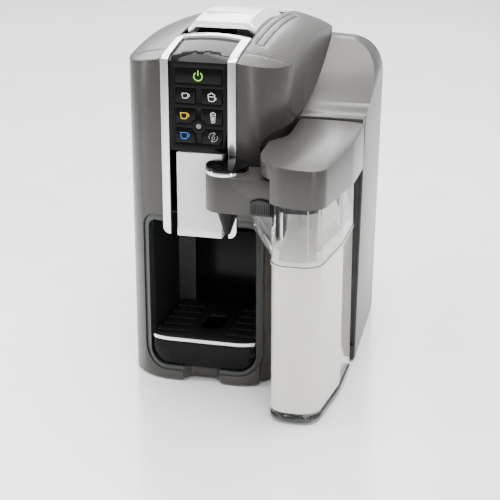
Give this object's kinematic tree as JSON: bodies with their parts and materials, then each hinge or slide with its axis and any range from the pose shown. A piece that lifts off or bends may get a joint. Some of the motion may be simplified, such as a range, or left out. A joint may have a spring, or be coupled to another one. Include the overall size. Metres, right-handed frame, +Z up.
{
  "type": "pod coffee machine",
  "caption": "Countertop capsule coffee machine with a lever, key panel, drip tray, rear water tank and a slide-in clear milk carafe with a spout arm.",
  "frame": {"origin": "on the surface it stands on, at the middle of the overall width and depth", "axes": "+X to the right seen from the front, +Y to the back, +Z up"},
  "size_m": [0.196, 0.376, 0.304],
  "materials": {
    "shell_plastic": "warm grey metallic lacquer on ABS",
    "dark_plastic": "black moulded ABS, fine texture",
    "bezel_plastic": "dark grey moulded ABS",
    "gloss_black": "piano black",
    "chrome_trim": "satin chrome plating",
    "silver_plastic": "silver lacquer",
    "brushed_plate": "brushed",
    "clear_plastic": "clear SAN",
    "base_rim": "smoke grey",
    "tank_plastic": "smoked clear SAN",
    "tank_lid_plastic": "warm grey",
    "rubber": "matt",
    "steel": "zinc plated",
    "aluminium": "as cast",
    "circuit_board": "solder mask",
    "white_plastic": "natural",
    "pump_steel": "zinc plated steel and resin",
    "brass": "machined"
  },
  "bodies": {
    "casing": {"front_shell": "shell_plastic", "left_shell": "shell_plastic", "right_shell": "shell_plastic", "rear_cover": "dark_plastic", "base_plate": "dark_plastic", "feet": "rubber", "chassis": "dark_plastic", "cavity_bezel": "bezel_plastic", "cavity_liner": "dark_plastic", "chrome_frame": "chrome_trim", "control_panel": "gloss_black", "status_led": "clear_plastic", "control_board": "circuit_board", "spout_cover": "silver_plastic", "coffee_spout": "dark_plastic", "lever_pin": "steel", "lever_well": "dark_plastic", "top_cover": "silver_plastic", "brew_frame": "dark_plastic", "capsule_holder": "aluminium", "dock_panel": "dark_plastic", "steam_port": "steel", "tank_dock": "dark_plastic", "pump": "pump_steel", "pump_mounts": "rubber", "thermoblock": "aluminium", "flow_meter": "white_plastic", "steam_valve": "brass", "water_tubes": "white_plastic", "power_inlet": "dark_plastic", "screws": "steel"},
    "lever": {"lever": "silver_plastic", "lever_grip": "brushed_plate"},
    "piston": {"brew_piston": "aluminium"},
    "tray": {"drip_tray": "dark_plastic", "tray_trim": "chrome_trim", "capsule_bin": "dark_plastic"},
    "grate": {"drip_grate": "dark_plastic"},
    "jug": {"milk_jug": "clear_plastic", "jug_base": "base_rim"},
    "lid": {"milk_lid": "shell_plastic", "lid_plate": "dark_plastic", "spout_arm": "shell_plastic", "cap_ring": "chrome_trim", "milk_nozzle": "dark_plastic", "suction_tube": "clear_plastic", "tube_connector": "dark_plastic"},
    "cap": {"milk_cap": "gloss_black"},
    "tab": {"release_tab": "dark_plastic"},
    "tank": {"water_tank": "tank_plastic", "tank_pin": "steel"},
    "tank_cover": {"tank_lid": "tank_lid_plastic"},
    "valve": {"tank_valve": "white_plastic"},
    "key_power": {"button_power": "gloss_black"},
    "key_espresso": {"button_espresso": "gloss_black"},
    "key_cappuccino": {"button_cappuccino": "gloss_black"},
    "key_coffee": {"button_coffee": "gloss_black"},
    "key_latte": {"button_latte": "gloss_black"},
    "key_lungo": {"button_lungo": "gloss_black"},
    "key_clean": {"button_clean": "gloss_black"}
  },
  "joints": [
    {"name": "lever_lift", "type": "hinge", "parent": "casing", "child": "lever", "pos_m": [-0.0285, 0.06, 0.28], "axis": [-1, 0, 0], "range_deg": [0, 72]},
    {"name": "piston_slide", "type": "slide", "parent": "casing", "child": "piston", "axis": [0, 1, 0], "range_m": [0, 0.024]},
    {"name": "tray_slide", "type": "slide", "parent": "casing", "child": "tray", "axis": [0, -1, 0], "range_m": [0, 0.2]},
    {"name": "grate_lift", "type": "slide", "parent": "tray", "child": "grate", "axis": [0, 0, 1], "range_m": [0, 0.02]},
    {"name": "carafe_slide", "type": "slide", "parent": "casing", "child": "jug", "axis": [0, -1, 0], "range_m": [0, 0.12]},
    {"name": "lid_lift", "type": "slide", "parent": "jug", "child": "lid", "axis": [0, 0, 1], "range_m": [0, 0.18]},
    {"name": "cap_turn", "type": "hinge", "parent": "lid", "child": "cap", "pos_m": [0.0009, -0.1457, 0.203], "axis": [0, 0, 1], "range_deg": [0, 45]},
    {"name": "tab_press", "type": "slide", "parent": "lid", "child": "tab", "axis": [0, 1, 0], "range_m": [0, 0.0014], "stiffness_N_per_m": 400},
    {"name": "tank_lift", "type": "slide", "parent": "casing", "child": "tank", "axis": [0, 0, 1], "range_m": [0, 0.1]},
    {"name": "tank_lid_hinge", "type": "hinge", "parent": "tank", "child": "tank_cover", "pos_m": [-0.015, 0.179, 0.2298], "axis": [-1, 0, 0], "range_deg": [0, 95]},
    {"name": "valve_lift", "type": "slide", "parent": "tank", "child": "valve", "axis": [0, 0, 1], "range_m": [0, 0.0015], "stiffness_N_per_m": 300},
    {"name": "press_power", "type": "slide", "parent": "casing", "child": "key_power", "axis": [0, 1, 0], "range_m": [0, 0.0012], "stiffness_N_per_m": 600},
    {"name": "press_espresso", "type": "slide", "parent": "casing", "child": "key_espresso", "axis": [0, 1, 0], "range_m": [0, 0.0012], "stiffness_N_per_m": 600},
    {"name": "press_cappuccino", "type": "slide", "parent": "casing", "child": "key_cappuccino", "axis": [0, 1, 0], "range_m": [0, 0.0012], "stiffness_N_per_m": 600},
    {"name": "press_coffee", "type": "slide", "parent": "casing", "child": "key_coffee", "axis": [0, 1, 0], "range_m": [0, 0.0012], "stiffness_N_per_m": 600},
    {"name": "press_latte", "type": "slide", "parent": "casing", "child": "key_latte", "axis": [0, 1, 0], "range_m": [0, 0.0012], "stiffness_N_per_m": 600},
    {"name": "press_lungo", "type": "slide", "parent": "casing", "child": "key_lungo", "axis": [0, 1, 0], "range_m": [0, 0.0012], "stiffness_N_per_m": 600},
    {"name": "press_clean", "type": "slide", "parent": "casing", "child": "key_clean", "axis": [0, 1, 0], "range_m": [0, 0.0012], "stiffness_N_per_m": 600}
  ],
  "couplings": [
    {"joint": "piston_slide", "follows": "lever_lift", "m_per_rad": 0.019099}
  ]
}
